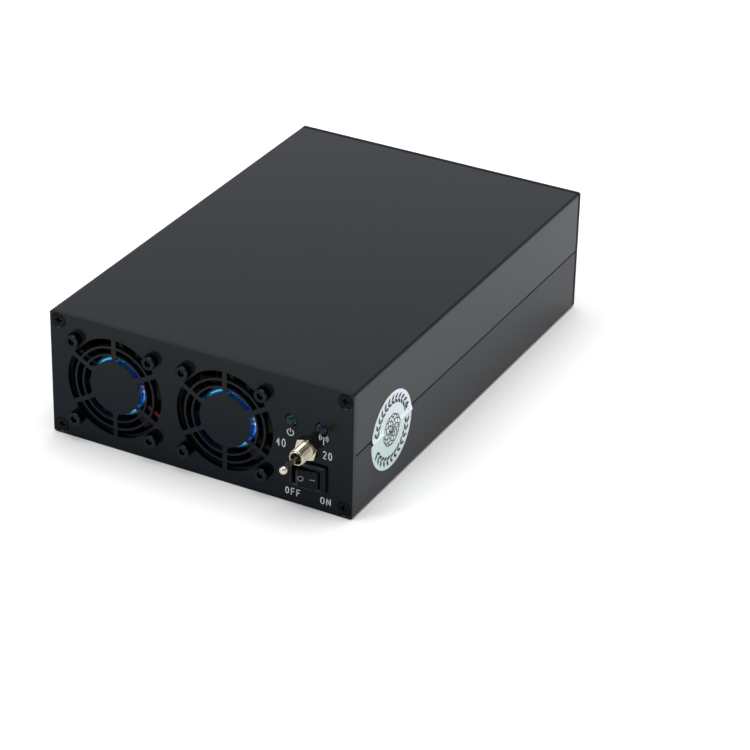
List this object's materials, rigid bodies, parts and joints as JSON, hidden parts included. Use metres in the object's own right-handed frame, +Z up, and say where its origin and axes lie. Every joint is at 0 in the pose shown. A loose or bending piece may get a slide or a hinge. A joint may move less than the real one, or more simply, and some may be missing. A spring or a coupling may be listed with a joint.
{
  "type": "hf linear amplifier",
  "caption": "Flat black desktop radio-frequency amplifier in a split aluminium case, with grilled fans, a band toggle, a power rocker and lamps in front, and coaxial and power sockets behind.",
  "frame": {"origin": "middle of the case's base face, on the surface it stands on", "axes": "+X to the right seen from the front, -Y towards the front panel, +Z up"},
  "size_m": [0.1241, 0.2178, 0.05],
  "materials": {
    "case_black": "black anodised extrusion",
    "panel_black": "satin black anodised plate",
    "screw_black": "black zinc",
    "seal_paper": "pale paper with a printed wreath",
    "fan_black": "moulded black",
    "fan_label": "glossy blue label",
    "bearing": "sintered bronze",
    "steel": "bright steel",
    "winding": "enamelled copper",
    "lead_red": "red insulation",
    "lead_black": "black insulation",
    "lens_power": "pale green tinted lens",
    "lens_transmit": "blue tinted lens",
    "nickel": "bright nickel plate",
    "switch_body": "moulded switch body",
    "rocker_black": "glossy black nylon",
    "terminal": "tinned brass",
    "insulator": "off-white insulator",
    "insulator_black": "black moulded insert",
    "contact": "gold-coloured contact",
    "heatsink": "mill-finish aluminium",
    "board": "green solder mask",
    "transistor": "moulded black package",
    "ferrite": "dark grey ferrite",
    "ring_core": "red lacquered ring core",
    "relay": "blue relay case",
    "capacitor": "sleeved can"
  },
  "bodies": {
    "chassis": {"case_bottom": "case_black", "case_top": "case_black", "front_panel": "panel_black", "rear_panel": "panel_black", "front_panel_screws": "screw_black", "rear_panel_screws": "screw_black", "seal_label": "seal_paper", "fan_screws": "screw_black", "fan_nuts": "steel", "lamp_power": "lens_power", "lamp_transmit": "lens_transmit", "lamp_legs": "steel", "toggle_bushing": "nickel", "toggle_pin": "steel", "toggle_washer": "nickel", "toggle_nut": "nickel", "toggle_body": "switch_body", "toggle_terminals": "terminal", "rocker_housing": "rocker_black", "rocker_terminals": "terminal", "coax_nuts": "nickel", "power_socket_shell": "nickel", "power_socket_insulator": "insulator_black", "power_socket_pins": "contact", "power_socket_nut": "nickel", "heatsink": "heatsink", "main_board": "board", "rf_transistor_left": "transistor", "rf_transistor_right": "transistor", "output_transformer": "ferrite", "input_transformer": "ferrite", "relay_low_band": "relay", "relay_high_band": "relay", "filter_coils": "ring_core", "supply_capacitor": "capacitor", "fan_left_frame": "fan_black", "fan_left_label": "fan_label", "fan_left_bearing": "bearing", "fan_left_stator": "winding", "fan_left_lead_red": "lead_red", "fan_left_lead_black": "lead_black", "fan_right_frame": "fan_black", "fan_right_label": "fan_label", "fan_right_bearing": "bearing", "fan_right_stator": "winding", "fan_right_lead_red": "lead_red", "fan_right_lead_black": "lead_black", "coax_input_shell": "nickel", "coax_input_insulator": "insulator", "coax_input_contact": "contact", "coax_output_shell": "nickel", "coax_output_insulator": "insulator", "coax_output_contact": "contact"},
    "fan_left_impeller": {"fan_left_rotor": "fan_black", "fan_left_shaft": "steel"},
    "fan_right_impeller": {"fan_right_rotor": "fan_black", "fan_right_shaft": "steel"},
    "toggle_arm": {"toggle_lever": "nickel"},
    "rocker": {"rocker_button": "rocker_black"}
  },
  "joints": [
    {"name": "fan_left_spin", "type": "hinge", "parent": "chassis", "child": "fan_left_impeller", "pos_m": [-0.0353, -0.084, 0.025], "axis": [0, 1, 0], "continuous": true},
    {"name": "fan_right_spin", "type": "hinge", "parent": "chassis", "child": "fan_right_impeller", "pos_m": [0.0105, -0.084, 0.025], "axis": [0, 1, 0], "continuous": true},
    {"name": "band_toggle_throw", "type": "hinge", "parent": "chassis", "child": "toggle_arm", "pos_m": [0.0442, -0.0978, 0.0241], "axis": [0, 0, 1], "range_deg": [-12, 12]},
    {"name": "power_rocker_tilt", "type": "hinge", "parent": "chassis", "child": "rocker", "pos_m": [0.0445, -0.091, 0.01305], "axis": [0, 0, 1], "range_deg": [-26, 0]}
  ]
}
